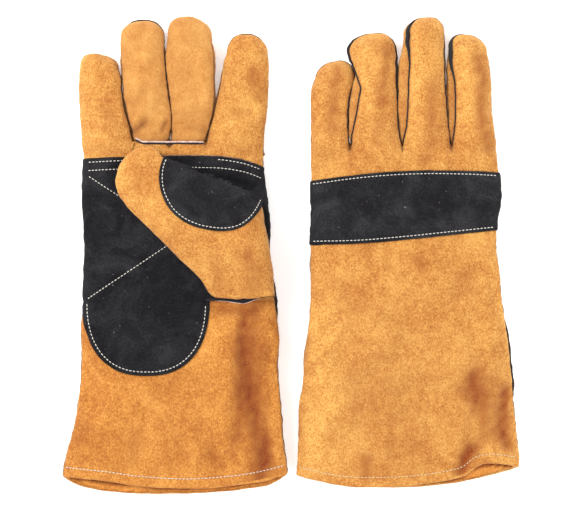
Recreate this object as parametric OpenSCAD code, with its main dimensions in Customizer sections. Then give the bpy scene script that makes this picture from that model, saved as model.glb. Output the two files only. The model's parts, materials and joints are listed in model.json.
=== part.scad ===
// Pair of long suede leather welding gloves lying flat: the right-hand glove palm up with its
// thumb folded over the palm, the left-hand glove back up with its thumb folded under it.

/* [Pair] */
// Distance from the middle of the pair to the nearest cuff corner
cuff_half_gap = 1.2; // [0.6:0.1:6]
// Reach of the middle fingertips ahead of the middle of the pair
tip_reach = 178; // [165:1:190]
// Reach of the longer cuff layer behind the middle of the pair
mouth_reach = 178; // [165:1:190]

/* [Hand] */
// Distance of the wrist seam behind the middle of the pair
wrist_back = 35; // [25:1:50]
// Distance of the finger hinges ahead of the middle of the pair
hinge_ahead = 92; // [84:1:100]
// Thickness of the stuffed hand
hand_thickness = 26; // [20:0.5:34]
// Thickness of the cuff at its mouth
mouth_thickness = 22; // [16:0.5:30]
// Thickness of a finger at its root
finger_thickness = 24; // [18:0.5:28]
// Thickness of a thumb at its widest place
thumb_thickness = 17; // [13:0.5:22]

/* [Leather] */
// Thickness of the tan suede with its seam allowance
leather = 1.8; // [1.2:0.1:3]
// Thickness of the black overlay patches
patch = 1.3; // [0.8:0.1:2]
// Gap under a patch or a hem, which keeps it off the curved panel
patch_lift = 0.4; // [0.3:0.05:0.8]
// Thickness of the cotton lining
lining = 1.1; // [0.8:0.1:2]
// Gap between neighbouring panels of one glove
seam_gap = 0.3; // [0.2:0.05:0.6]
// Clear gap on each side of a hinge line
hinge_gap = 0.4; // [0.3:0.05:1]
// Height of the black piping in the seams
welt_height = 1.6; // [1:0.1:2.5]

/* [Patches] */
// Length of the knuckle band along the hand
band_length = 46; // [30:1:60]
// Reach of the round heel patch behind the wrist seam
heel_reach = 56; // [40:1:70]
// Distance of the palm patch behind the finger hinges
patch_back = 21; // [15:1:30]
// Depth of the turned hem at the cuff mouth
hem_depth = 9; // [6:0.5:14]

/* [Hidden] */
RIGHT = 0;
LEFT = 1;
SIDE_NAMES = ["right", "left"];
FINGER_NAMES = ["little", "ring", "middle", "index"];
// exponent of the cross-sections and the share of their height that is flattened off
round_power = 2.6;
flat_share = 0.93;
hand_half = hand_thickness / 2;
mouth_half = mouth_thickness / 2;
finger_half = finger_thickness / 2;
// the glove lies on its patches, so its own leather starts above them
lift_off = patch + patch_lift;
thumb_clear = patch + patch_lift + 0.3;
// height of the left glove's hand, which lies on its own thumb
left_hand_mid = thumb_thickness + thumb_clear + hand_half + patch + patch_lift;
// middle height of each glove's fingertips
TIP_MID = [finger_half * 0.92, 9.5];
// least half width and half thickness where a skin closes at a tip
closed = 0.4;

// angles that the gap between two panels takes in a cross-section of the hand and of a thumb
side_trim = 1.6;
thumb_trim = 2.2;
// a finger's side strip takes this angle above and below its side, less the gap at its seam
strip_angle = 24;
strip_trim = 3.2;

TAN = "#E8AC62";
TAN_DEEP = "#DB9450";
BLACK = "#2F2E32";
COTTON = "#D9C7A6";

// outline of hand and cuff, as [y, left edge, right edge, half thickness, middle height]
SHELLS = [
  [
    [-mouth_reach, -172, -cuff_half_gap, mouth_half, mouth_half],
    [-166, -170, -2, mouth_half, mouth_half],
    [-140, -166, -5, mouth_half, mouth_half],
    [-105, -161, -8, mouth_half + 0.4, mouth_half + 0.4],
    [-70, -158, -12, mouth_half + 1, mouth_half + 1.4],
    [-wrist_back, -156, -16, hand_half - 0.8, hand_half + 0.4],
    [-10, -155.5, -18, hand_half, hand_half + lift_off],
    [20, -155.5, -19, hand_half, hand_half + lift_off],
    [50, -155.5, -20, hand_half, hand_half + lift_off],
    [75, -156.5, -20, hand_half - 0.3, hand_half + lift_off],
    [hinge_ahead - hinge_gap / 2, -157, -19.5, hand_half - 0.6, hand_half + lift_off]
  ],
  [
    [-mouth_reach, cuff_half_gap, 172, mouth_half, mouth_half],
    [-166, 2, 171, mouth_half, mouth_half + 0.3],
    [-140, 3.5, 170, mouth_half, mouth_half + 2.5],
    [-105, 7, 166, mouth_half + 0.4, mouth_half + 8],
    [-70, 11, 162, mouth_half + 1, mouth_half + 14.5],
    [-wrist_back, 13.5, 158, hand_half - 0.8, left_hand_mid - 1],
    [-10, 14, 155, hand_half, left_hand_mid],
    [20, 14, 154, hand_half, left_hand_mid],
    [50, 14, 153, hand_half, left_hand_mid],
    [75, 14.5, 151.5, hand_half - 0.3, left_hand_mid],
    [hinge_ahead - hinge_gap / 2, 14.8, 150.5, hand_half - 0.6, left_hand_mid]
  ]
];

// finger edges, as [root left, root right, tip left, tip right, tip reach]
FINGERS = [
  [
    [-157, -118.5, -158.5, -131.5, 150],
    [-115.5, -91.8, -124, -94.5, 175],
    [-89.4, -63.2, -92, -59.5, tip_reach],
    [-60.6, -19.5, -45.5, -17.5, 164]
  ],
  [
    [15, 45.4, 19.5, 46, 146],
    [47.8, 82, 48.5, 79.5, 167],
    [84.4, 117.8, 87, 116.5, tip_reach],
    [120.2, 150.5, 121.5, 147.5, 166]
  ]
];
// how far each fingertip is rounded off
tip_round = 16;
// a finger starts straight so that it can fold past its neighbours
straight_root = 24;

// thumb ribs from the folded root to the tip, as [back point, front point, share of thickness],
// where a point is [distance inward from the hinge, y]
THUMB_RIBS = [
  [[0, -33], [0, 43], 0.8],
  [[19, -34], [15, 48], 0.94],
  [[39, -31], [33, 54], 1],
  [[57, -9], [50, 59], 1],
  [[76, 9], [65, 63], 1],
  [[95, 26], [73, 66], 1],
  [[106, 41], [75, 69], 0.97],
  [[110.5, 54], [76, 73], 0.9],
  [[109, 66], [79, 77], 0.74],
  [[101, 76], [85, 79.5], 0.46]
];
THUMB_HINGE_X = [-20.5, 156];

function up(side) = side == RIGHT ? 1 : -1;
function power(v) = sign(v) * pow(abs(v), 2 / round_power);
function clip(v) = max(-1, min(1, v / flat_share));
function mix(a, b, t) = a + (b - a) * t;
function unit(v) = v / norm(v);

// a rib is [back point, front point, half thickness, middle height, end shift for each mm of offset]
function rib_point(side, rib, angle, offset) =
  let (
    mid = (rib[0] + rib[1]) / 2,
    half = max(closed, norm(rib[1] - rib[0]) / 2 + offset),
    flat = mid + unit(rib[1] - rib[0]) * half * power(cos(angle)) + rib[4] * offset,
    high = rib[3] + up(side) * max(closed, rib[2] + offset) * clip(power(sin(angle)))
  )
  [flat[0], flat[1], high];

// row of the hand and cuff outline at any y
function shell_row(side, y) =
  let (
    t = SHELLS[side],
    i = max([for (k = [0:len(t) - 2]) t[k][0] <= y ? k : 0]),
    u = (y - t[i][0]) / (t[i + 1][0] - t[i][0])
  )
  mix(t[i], t[i + 1], u);

function shell_rib(side, y) =
  let (r = shell_row(side, y))
  [[r[1], y], [r[2], y], r[3], r[4], [0, 0]];

function slanted_rib(side, y_left, y_right) =
  let (a = shell_row(side, y_left), b = shell_row(side, y_right))
  [[a[1], y_left], [b[2], y_right], (a[3] + b[3]) / 2, (a[4] + b[4]) / 2, [0, 0]];

// every outline row between two stations, with the two stations themselves
function stations(side, from, to) = concat(
  [from],
  [for (r = SHELLS[side]) if (r[0] > from + 4 && r[0] < to - 4) r[0]],
  [to]
);

function shell_ribs(side, from, to) = [for (y = stations(side, from, to)) shell_rib(side, y)];

function finger_rib(side, finger, y) =
  let (
    f = FINGERS[side][finger],
    root = hinge_ahead + hinge_gap / 2,
    t = max(0, (y - root - straight_root) / (f[4] - root - straight_root)),
    left = mix(f[0], f[2], t),
    right = mix(f[1], f[3], t),
    d = min(1, max(0, f[4] - y) / tip_round),
    narrow = max(0.34, sqrt(1 - (1 - d) * (1 - d))),
    thin = max(0.42, sqrt(1 - pow(1 - d, 2.5))),
    mid = (left + right) / 2,
    half = (right - left) / 2 * narrow,
    hand_mid = shell_row(side, hinge_ahead - hinge_gap)[4],
    share = (y - root) / (f[4] - root),
    swell = mix(1, 0.92, share)
  )
  [[mid - half, y], [mid + half, y], finger_half * swell * thin,
   mix(hand_mid, TIP_MID[side], share), d < 0.05 ? [0, 1] : [0, 0]];

// the rib with its end drawn together, which closes the tip behind it
function drawn_rib(rib) =
  let (mid = (rib[0] + rib[1]) / 2, way = unit(rib[1] - rib[0]))
  [mid - way * closed, mid + way * closed, closed, rib[3], rib[4]];

function finger_ribs(side, finger) =
  let (root = hinge_ahead + hinge_gap / 2, tip = FINGERS[side][finger][4])
  concat(
    [for (y = [
      root, root + straight_root / 2, root + straight_root,
      mix(root + straight_root, tip - tip_round, 0.5),
      tip - tip_round, tip - tip_round * 0.55, tip - tip_round * 0.22, tip
    ]) finger_rib(side, finger, y)],
    [drawn_rib(finger_rib(side, finger, tip))]
  );

function thumb_rib(side, i) =
  let (
    palm = shell_row(side, 20),
    last = len(THUMB_RIBS) - 1,
    r = THUMB_RIBS[i],
    half = thumb_thickness / 2 * r[2],
    x = THUMB_HINGE_X[side],
    rise = palm[3] + thumb_clear + thumb_thickness / 2
  )
  [[x - r[0][0], r[0][1]], [x - r[1][0], r[1][1]], half, palm[4] + up(side) * rise,
   i == last ? [-0.35, 0.94] : [0, 0]];

function thumb_ribs(side) =
  let (last = len(THUMB_RIBS) - 1)
  concat(
    [for (i = [0:last]) thumb_rib(side, i)],
    [drawn_rib(thumb_rib(side, last))]
  );

function each_rib(v, count) = is_list(v) ? v : [for (i = [1:count]) v];

// closed skin between two offsets of a row of ribs, over a range of angles
module skin(side, ribs, from, to, steps, outside, inside) {
  rows = len(ribs);
  a0 = each_rib(from, rows);
  a1 = each_rib(to, rows);
  cols = steps + 1;
  top = [for (i = [0:rows - 1]) for (j = [0:steps])
    rib_point(side, ribs[i], mix(a0[i], a1[i], j / steps), outside)];
  low = [for (i = [0:rows - 1]) for (j = [0:steps])
    rib_point(side, ribs[i], mix(a0[i], a1[i], j / steps), inside)];
  base = rows * cols;
  sheets = [for (i = [0:rows - 2]) for (j = [0:steps - 1])
    let (a = i * cols + j, b = a + 1, c = a + cols, d = c + 1)
    each [[a, c, b], [b, c, d], [base + a, base + b, base + c], [base + b, base + d, base + c]]];
  ends = [for (j = [0:steps - 1])
    let (a = j, c = (rows - 1) * cols + j)
    each [[a, a + 1, base + a], [a + 1, base + a + 1, base + a],
          [c, base + c, c + 1], [c + 1, base + c, base + c + 1]]];
  edges = [for (i = [0:rows - 2])
    let (a = i * cols, b = a + cols, c = a + steps, d = c + cols)
    each [[a, base + a, b], [b, base + a, base + b],
          [c, d, base + c], [d, base + d, base + c]]];
  faces = concat(sheets, ends, edges);
  polyhedron(
    points = concat(top, low),
    faces = side == RIGHT ? faces : [for (f = faces) [f[0], f[2], f[1]]],
    convexity = 6
  );
}

module back_panel(side) {
  color(TAN)
    skin(side, shell_ribs(side, side == RIGHT ? -mouth_reach : -mouth_reach + 6, hinge_ahead - hinge_gap / 2),
      180 + side_trim, 360 - side_trim, 16, 0, -leather);
}

module palm_panel(side) {
  color(TAN)
    skin(side, shell_ribs(side, -wrist_back + seam_gap, hinge_ahead - hinge_gap / 2),
      side_trim, 180 - side_trim, 16, 0, -leather);
}

module palm_patch(side) {
  color(BLACK)
    skin(side, shell_ribs(side, -wrist_back + 2, hinge_ahead - patch_back),
      14, 172, 14, patch_lift + patch, patch_lift);
}

module knuckle_band(side) {
  front = 54;
  color(BLACK)
    skin(side, [for (k = [0:3])
      slanted_rib(side, front - band_length + band_length * k / 3, front + 8 - band_length + band_length * k / 3)],
      180 + 8, 360 - 8, 14, patch_lift + patch, patch_lift);
}

module cuff_palm(side) {
  color(TAN_DEEP)
    skin(side, shell_ribs(side, side == RIGHT ? -mouth_reach + 6 : -mouth_reach, -wrist_back - seam_gap),
      side_trim, 180 - side_trim, 16, 0, -leather);
}

// half-round patch on the palm side of the cuff
module heel_patch(side) {
  rows = 7;
  ribs = [for (k = [0:rows - 1])
    let (u = 0.995 * sin(90 * k / (rows - 1)), y = -wrist_back - 1.5 - heel_reach * u)
    shell_rib(side, y)];
  half_angles = [for (k = [0:rows - 1])
    let (u = 0.995 * sin(90 * k / (rows - 1)))
    sqrt(1 - u * u)];
  color(BLACK)
    skin(side, [for (k = [rows - 1:-1:0]) ribs[k]],
      [for (k = [rows - 1:-1:0]) 112 - 46 * half_angles[k]],
      [for (k = [rows - 1:-1:0]) 112 + 56 * half_angles[k]],
      12, patch_lift + patch, patch_lift);
}

module cuff_hem(side) {
  color(TAN_DEEP)
    skin(side, shell_ribs(side, -mouth_reach + 6.5, -mouth_reach + 6.5 + hem_depth),
      180 + 2, 540 - 2, 32, -leather - patch_lift, -2 * leather - patch_lift);
}

module hand_lining(side) {
  color(COTTON)
    skin(side, shell_ribs(side, -wrist_back + 1, hinge_ahead - 3),
      180 + 2, 540 - 2, 32, -leather - patch_lift, -leather - patch_lift - lining);
}

module cuff_lining(side) {
  color(COTTON)
    skin(side, shell_ribs(side, -mouth_reach + 8 + hem_depth, -wrist_back - 1),
      180 + 2, 540 - 2, 32, -leather - patch_lift, -leather - patch_lift - lining);
}

// piping across the palm side of the wrist, beside the heel patch
module wrist_welt(side) {
  color(BLACK)
    skin(side, shell_ribs(side, -wrist_back - 1.2, -wrist_back + 1.2),
      12, 60, 6, welt_height, patch_lift);
}

// piping down the thumb edge of the cuff
module side_welt(side) {
  color(BLACK)
    skin(side, shell_ribs(side, -wrist_back - 66, -wrist_back - 2),
      -3, 3, 2, welt_height, patch_lift);
}

module thumb_outer(side) {
  color(TAN)
    skin(side, thumb_ribs(side), thumb_trim, 180 - thumb_trim, 12, 0, -leather);
}

module thumb_inner(side) {
  color(TAN)
    skin(side, thumb_ribs(side), 180 + thumb_trim, 360 - thumb_trim, 12, 0, -leather);
}

// round patch over the web between thumb and palm
module thumb_patch(side) {
  ribs = thumb_ribs(side);
  color(BLACK)
    skin(side, [for (i = [0:6]) ribs[i]], 6, [58, 76, 84, 88, 86, 74, 40], 8, patch_lift + patch, patch_lift);
}

module finger_back(side, finger) {
  start = finger == 0 ? 180 + side_trim : 180 + strip_angle;
  end = finger == 3 ? 360 - side_trim : 360 - strip_angle;
  color(TAN)
    skin(side, finger_ribs(side, finger), start, end, 8, 0, -leather);
}

module finger_front(side, finger) {
  start = finger == 3 ? side_trim : strip_angle;
  end = finger == 0 ? 180 - side_trim : 180 - strip_angle;
  color(TAN)
    skin(side, finger_ribs(side, finger), start, end, 8, 0, -leather);
}

module finger_side(side, finger, middle_angle) {
  color(TAN_DEEP)
    skin(side, finger_ribs(side, finger),
      middle_angle - strip_angle + strip_trim, middle_angle + strip_angle - strip_trim, 4, 0, -leather);
}

for (s = [RIGHT, LEFT]) {
  back_panel(s);
  palm_panel(s);
  palm_patch(s);
  knuckle_band(s);
  cuff_palm(s);
  heel_patch(s);
  cuff_hem(s);
  hand_lining(s);
  cuff_lining(s);
  wrist_welt(s);
  side_welt(s);
  thumb_outer(s);
  thumb_inner(s);
  thumb_patch(s);
  for (f = [0:3]) {
    finger_back(s, f);
    finger_front(s, f);
    if (f > 0)
      finger_side(s, f, 180);
    if (f < 3)
      finger_side(s, f, 0);
  }
}
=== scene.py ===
"""A pair of suede leather welding gloves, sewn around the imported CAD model.

Each hand with its fingers is one skin, and each thumb is another. They are worked out in millimetres
from the CAD boxes and are cut along their seams into leather panels. Patches, piping and stitches
are draped over the finished skins.
"""
import json
import math

import bpy
import numpy as np
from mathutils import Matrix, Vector
from mathutils.bvhtree import BVHTree


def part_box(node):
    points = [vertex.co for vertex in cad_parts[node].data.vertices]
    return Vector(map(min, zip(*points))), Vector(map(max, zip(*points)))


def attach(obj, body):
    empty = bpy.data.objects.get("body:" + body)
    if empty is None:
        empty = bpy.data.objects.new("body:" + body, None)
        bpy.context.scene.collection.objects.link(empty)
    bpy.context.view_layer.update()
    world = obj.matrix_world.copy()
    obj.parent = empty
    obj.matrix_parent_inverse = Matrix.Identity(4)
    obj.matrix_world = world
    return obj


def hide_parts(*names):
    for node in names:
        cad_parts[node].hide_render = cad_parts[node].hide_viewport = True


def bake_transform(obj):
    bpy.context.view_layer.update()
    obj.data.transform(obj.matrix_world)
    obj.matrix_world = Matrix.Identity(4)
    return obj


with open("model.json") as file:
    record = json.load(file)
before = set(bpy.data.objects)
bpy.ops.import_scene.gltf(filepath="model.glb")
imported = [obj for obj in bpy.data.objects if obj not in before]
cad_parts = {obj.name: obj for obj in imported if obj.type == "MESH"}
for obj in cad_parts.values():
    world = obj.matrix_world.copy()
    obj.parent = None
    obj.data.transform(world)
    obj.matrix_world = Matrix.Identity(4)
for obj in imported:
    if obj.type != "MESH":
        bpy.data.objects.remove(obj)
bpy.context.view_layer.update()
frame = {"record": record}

MM = 0.001
FINGERS = ("little", "ring", "middle", "index")
JOINTS = {j["name"]: j for j in frame["record"]["behaviour"]["joints"]}

# ---------------------------------------------------------------- sizes, in mm

LEATHER = 1.5          # thickness of a panel
PATCH = 1.3            # thickness of a black patch
HEM = 2.9              # thickness of the turned hem
HAND_HALF = 13.0       # half thickness of the stuffed hand
MOUTH_HALF = 11.0      # half thickness of the cuff at its mouth
FINGER_HALF = 12.0     # half thickness of a finger at its root
HAND_POWER = 2.6       # roundness of the hand's cross-section
FINGER_POWER = 2.4     # roundness of a finger's cross-section
WRIST_Y = -35.0        # wrist seam
CROTCH_Y = {"right": 84.0, "left": 81.0}
ROW = 2.3              # spacing of the rows of a skin
GROOVE_DEPTH, GROOVE_WIDTH = 0.9, 1.7
SEWN_IN = 0.04         # how far a finger panel's strip of the hand lies under the skin
LINING = (-1.6, -2.5)  # the lining's two faces, measured from the skin
PIPING_RADIUS = 0.5    # radius of the piping down the hand's left side and round the thumb
PIPING_FINE, PIPING_THICK = 0.32, 0.55     # radius away from the tips, right and left glove
FINGER_BEND = 19.0     # length over which a finger bends at its root
TIP_ROWS = 9           # rows by which the strip on a finger's left runs on over the tip
TIP_ROUND, THUMB_ROUND = 0.92, 0.9     # roundness in plan of a finger's tip and of a thumb's
RIM_SHARE, BESIDE_SHARE = 0.6, 0.94    # share of a patch's thickness at its rim and beside it
RAY_FROM = 400.0       # height from which rays look for the skin
FAR = 99.0             # stands in for a distance or a thickness that sets no limit

# station y, then how far the left and the right edge lie inside the CAD cuff's widest place
OUTLINE = {
    "right": [(-179, 0.0, 0.0), (-163, 0.8, 0.0), (-150, 4.0, 1.6), (-138, 7.6, 3.0),
              (-120, 11.2, 4.6), (-100, 13.8, 6.1), (-78, 14.8, 7.3), (-54, 15.0, 7.6),
              (-38, 16.8, 9.3), (-20, 17.6, 11.6), (0, 18.0, 14.9), (22, 17.5, 14.5),
              (38, 17.1, 16.2), (56, 17.3, 18.3), (70, 17.8, 18.2), (84, 15.4, 17.4)],
    "left": [(-179, 0.6, 0.0), (-158, 2.5, 0.5), (-138, 3.6, 2.4), (-114, 4.9, 4.4),
             (-94, 8.0, 6.6), (-70, 10.0, 9.8), (-50, 12.4, 12.2), (-30, 13.6, 14.8),
             (-8, 13.9, 17.5), (14, 14.0, 18.5), (28, 13.9, 17.2), (43, 13.7, 15.4),
             (56, 13.6, 16.6), (68, 13.7, 18.4), (81, 14.0, 19.6)],
}
# station y, then how far of the way the glove has come from its mouth's height to its hand's
RISE = [(-180, 0.0), (-150, 0.06), (-105, 0.36), (-70, 0.7), (-35, 0.95), (-10, 1.0), (120, 1.0)]
# y of the cuff's mouth at shares of its width, for the palm side and for the back
MOUTH = {
    ("right", 1): [(0, -165), (0.1, -166.6), (0.21, -168.4), (0.32, -171.2), (0.45, -173),
                   (0.6, -173.4), (0.78, -170.8), (0.9, -167.4), (1, -163)],
    ("right", -1): [(0, -165), (0.05, -170), (0.14, -174.8), (0.27, -177.4), (0.64, -177.4),
                    (0.8, -175), (0.93, -170.4), (1, -163)],
    ("left", 1): [(0, -164), (0.1, -168), (0.3, -172.6), (0.58, -172.6), (0.75, -168.6),
                  (0.86, -165), (1, -158)],
    ("left", -1): [(0, -164), (0.08, -167.4), (0.2, -171.4), (0.4, -172.3), (0.56, -170.6),
                   (0.7, -166.6), (0.75, -164), (0.79, -158.6), (0.84, -155.4), (0.92, -155.6),
                   (1, -158)],
}
# finger rows: y, then how far the left and right edges lie inside the CAD finger's box;
# then the sideways place of the tip between the box's sides
FINGER_ROWS = {
    "right": {
        "little": ([(84, 1.4, -2.9), (94, 0.8, -0.4), (106, -0.2, 3.2), (120, -1.3, 5.0),
                    (131, -1.0, 5.7), (139, 0.0, 8.2)], 0.3),
        "ring": ([(84, 3.7, -2.7), (92, 2.1, -4.3), (103, -1.0, -5.0), (116, -4.6, -3.1),
                   (131, -5.9, -1.1), (148, -6.9, 0.9), (161, -6.1, 1.6)], 0.37),
        "middle": ([(84, -0.2, 1.6), (93, 0.6, -1.0), (103, 0.4, -3.7), (116, -1.1, -4.9),
                     (131, -3.1, -5.3), (147, -3.8, -4.5), (163, -1.5, -2.9)], 0.4),
        "index": ([(84, -4.5, 0.2), (92, -2.5, -0.4), (103, 0.7, -1.5), (116, 4.1, -2.1),
                   (128, 6.3, -2.7), (141, 9.0, -2.2), (150, 11.6, -0.8)], 0.63),
    },
    "left": {
        "little": ([(81, 0.2, 0.5), (92, 0.2, 0.7), (103, 0.3, 0.8), (113, 0.5, 0.0),
                    (123, 0.9, -2.0), (131, 3.2, -3.6)], 0.72),
        "ring": ([(81, -4.9, -2.0), (91, -7.6, -0.6), (103, -7.3, 0.2), (115, -5.9, 0.5),
                  (127, -3.0, 0.9), (133, -1.2, 1.1), (139, -2.2, 1.2), (145, -4.7, 1.4),
                  (151, -6.0, 2.3)], 0.44),
        "middle": ([(81, -2.9, -3.3), (91, -4.4, -2.2), (103, -5.2, -1.4), (116, -5.4, -0.6),
                    (130, -5.0, 0.0), (142, -3.6, 0.4), (153, -1.4, 0.8), (162, -0.3, 1.5)], 0.58),
        "index": ([(81, -2.2, -1.9), (91, -4.2, -0.5), (103, -5.4, 0.3), (116, -6.2, 0.6),
                   (130, -6.6, 0.9), (141, -6.0, 1.5), (150, -4.4, 3.5)], 0.3),
    },
}
# the angle round a finger where its front and back panels meet its side strips, in degrees:
# at the root and beyond it, for the finger's left side and for its right side
STRIPS = {"right": ((12, 12), (12, 12)), "left": ((9, 57), (7, 19))}
# y where the left-facing strip has closed, for a finger whose strip doesn't run over its tip
STRIP_END = {"right": {"ring": 160.0, "middle": 162.0, "index": 149.0}, "left": {"ring": 142.0}}
TIP_DROP = {"right": 0.0, "left": 1.1}   # how far the tips stay behind the CAD fingers' tips

# thumb ribs from the side of the hand to the tip: back point (inward from the hinge, y, height),
# front point, height of the middle, half thickness, roundness, and the way its outside faces
THUMB_RIBS = [
    ((6.0, -32, 3.0), (6.0, 41, 3.0), 3.0, 1.6, 2.2, (-1.0, 0.0)),
    ((5.5, -32.3, 9.0), (5.5, 43, 11.0), 12.0, 2.0, 2.1, (-0.99, 0.15)),
    ((8.0, -33.2, 12.5), (7.0, 44, 17.5), 19.0, 5.4, 1.9, (-0.78, 0.62)),
    ((15.0, -34.3, 13.8), (12.0, 46.5, 20.0), 22.8, 8.3, 1.8, (-0.3, 0.95)),
    ((26.0, -34.3, 14.4), (20.0, 49.8, 21.5), 23.4, 8.5, 1.8, (0.0, 1.0)),
    ((38.5, -32.0, 15.5), (31.0, 54.2, 22.5), 23.6, 8.6, 1.9, (0.0, 1.0)),
    ((48.5, -18.0, 19.0), (44.0, 59.0, 23.0), 23.7, 8.6, 2.1, (0.0, 1.0)),
    ((63.5, -2.6, 22.0), (56.0, 63.8, 23.5), 23.7, 8.6, 2.3, (0.0, 1.0)),
    ((82.0, 16.0, 23.5), (66.5, 68.4, 23.7), 23.7, 8.5, 2.4, (0.0, 1.0)),
    ((97.0, 30.0, 23.5), (72.0, 71.2, 23.7), 23.6, 8.4, 2.4, (0.0, 1.0)),
    ((106.2, 41.0, 23.4), (75.0, 73.6, 23.5), 23.4, 8.2, 2.4, (0.0, 1.0)),
]
# how much further inward the first ribs' back and front points lie on each glove
THUMB_ROOT = {"right": ((-14.4, -13.9, -12.0, -5.0), (-3.2, -2.8, -1.0, 0)),
              "left": ((8.0, 7.0, 4.0, 1.5), (0, 0, 0, 0))}
THUMB_TIP = (9.9, 16.0)     # from the last rib's middle to the tip, inward and ahead
THUMB_BEND = ((-1, 6), (24, 25))    # inward and height where its root starts and stops bending

# how much thicker (or thinner) the left glove's piping is beside each tip, on its left and right
PIPING_BULGE = {"little": (0.0, 0.45), "ring": (0.95, 0.8), "middle": (1.2, 0.1),
                "index": (1.15, -0.2)}

# black patches: (share across the hand, y)
PALM_PATCH_TOP = [(0, 71.0), (0.3, 72.6), (0.6, 73.4), (0.8, 72.2), (0.92, 68.8), (1, 64.5)]
# rows of stitches along its top edge (shares from and to, how far ahead), and across it (share, y)
PALM_ROWS = ((0.025, 0.35, -2.8), (0.74, 0.985, -2.8), (0.025, 0.985, -9.0))
PALM_CROSS = (((0.03, 58), (0.97, -29)), ((0.025, -33.5), (0.62, 21.7)))
HEEL_MIDDLE, HEEL_WIDE, HEEL_DEEP, HEEL_POWER = 0.33, 47.2, 55.6, 2.35
# how far ahead of the wrist line the seam across the wrist lies, at shares of the width
WRIST_SEAM = [(0, 0.2), (0.62, 0.2), (0.66, 1.0), (0.735, 0.7), (0.803, -0.6), (0.83, -1.0),
              (0.889, 1.7), (0.95, 3.6), (1, 2.4)]
WRIST_BARE = 0.635     # share of the width where it leaves the heel patch
RAW_SPAN = (0.67, 0.96)    # shares of the width where the leather's raw edge shows beside it
BAND_TOP = [(0, 54.0), (0.25, 58.6), (0.5, 61.4), (0.8, 61.6), (1, 60.4)]
BAND_BOTTOM = [(0, 6.8), (0.25, 7.6), (0.5, 10.4), (0.75, 14.0), (1, 17.6)]
# sewn edge of the thumb patch, (inward from the hinge, y), and its edge round the thumb's front
THUMB_PATCH_SEWN = [(72.0, 75), (75.7, 66), (76.8, 56), (75.6, 47), (72.2, 38.6), (67.2, 31), (60, 25),
                    (49.5, 20), (38, 17.4), (25, 17), (15.5, 19.8), (7.5, 26), (2, 34), (-2, 43)]
THUMB_PATCH_FRONT = [(-2, 46.5), (9.5, 52.6), (20.4, 56.4), (32.4, 61.4), (44.4, 66.4),
                     (56.4, 70.8), (66.4, 75)]
THUMB_PATCH_CENTRE = (40, 46)
BAND_COLUMNS = 76      # columns of a patch that runs across the hand
UNDER_SHORT = 0.013    # share of the hand's width left bare beside a patch on the underside
THUMB_EDGE = [(5, 17), (12, 20), (20, 21.5), (31, 22.5), (56, 23.5)]   # inward, height of the front

STITCH, STITCH_PITCH, THREAD = 2.1, 2.8, 0.33      # length, pitch, radius of the thread
STITCH_ASIDE = 0.3     # a stitch that slips further aside than this is left out
ARCH = (-0.3, 0.2, 0.32, 0.2, -0.3)    # height of a stitch's thread over the leather, along it

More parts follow.
